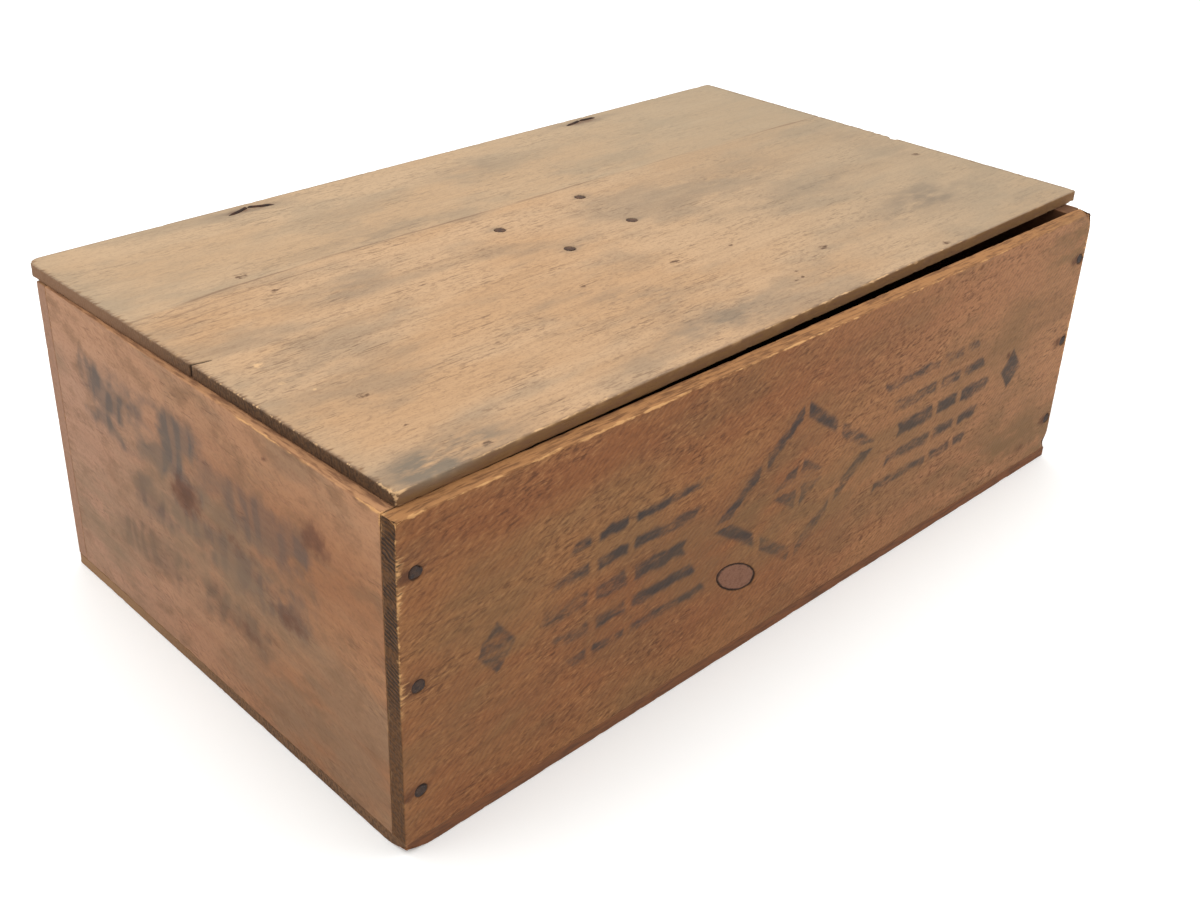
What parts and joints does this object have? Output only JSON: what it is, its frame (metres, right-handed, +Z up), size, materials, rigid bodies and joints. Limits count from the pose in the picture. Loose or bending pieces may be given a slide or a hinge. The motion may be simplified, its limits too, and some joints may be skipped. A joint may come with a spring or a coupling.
{
  "type": "wooden display box",
  "caption": "Low rectangular box of thin nailed pine boards with a one-board lid that folds back on two linked wire hinges.",
  "frame": {"origin": "middle of the underside of the case, on the surface that it stands on", "axes": "+X to the right along the front, +Y to the hinged back, +Z up"},
  "size_m": [0.3988, 0.2365, 0.1325],
  "materials": {
    "side_pine": "dry rough-sawn pine, aged reddish brown",
    "end_pine": "dry planed pine, aged pinkish brown",
    "bottom_pine": "dry rough pine",
    "lid_pine": "dry sun-bleached pine, light tan with grey smudges",
    "knot_wood": "dense dry knot",
    "nail_iron": "rust-browned iron",
    "hinge_wire": "dark rusted iron wire"
  },
  "bodies": {
    "case": {"front_board": "side_pine", "back_board": "side_pine", "left_end": "end_pine", "right_end": "end_pine", "bottom_board": "bottom_pine", "left_hinge_staple": "hinge_wire", "right_hinge_staple": "hinge_wire", "front_left_nails": "nail_iron", "front_right_nails": "nail_iron", "back_left_nails": "nail_iron", "back_right_nails": "nail_iron", "bottom_front_nails": "nail_iron", "bottom_back_nails": "nail_iron", "bottom_left_nails": "nail_iron", "bottom_right_nails": "nail_iron", "front_knot": "knot_wood"},
    "lid": {"lid_board": "lid_pine", "left_hinge_eye": "hinge_wire", "right_hinge_eye": "hinge_wire", "lid_tacks": "nail_iron"}
  },
  "joints": [
    {"name": "lid_hinge", "type": "hinge", "parent": "case", "child": "lid", "pos_m": [0, 0.11835, 0.1236], "axis": [-0.9998, -0.0192, 0], "range_deg": [0, 180]}
  ]
}
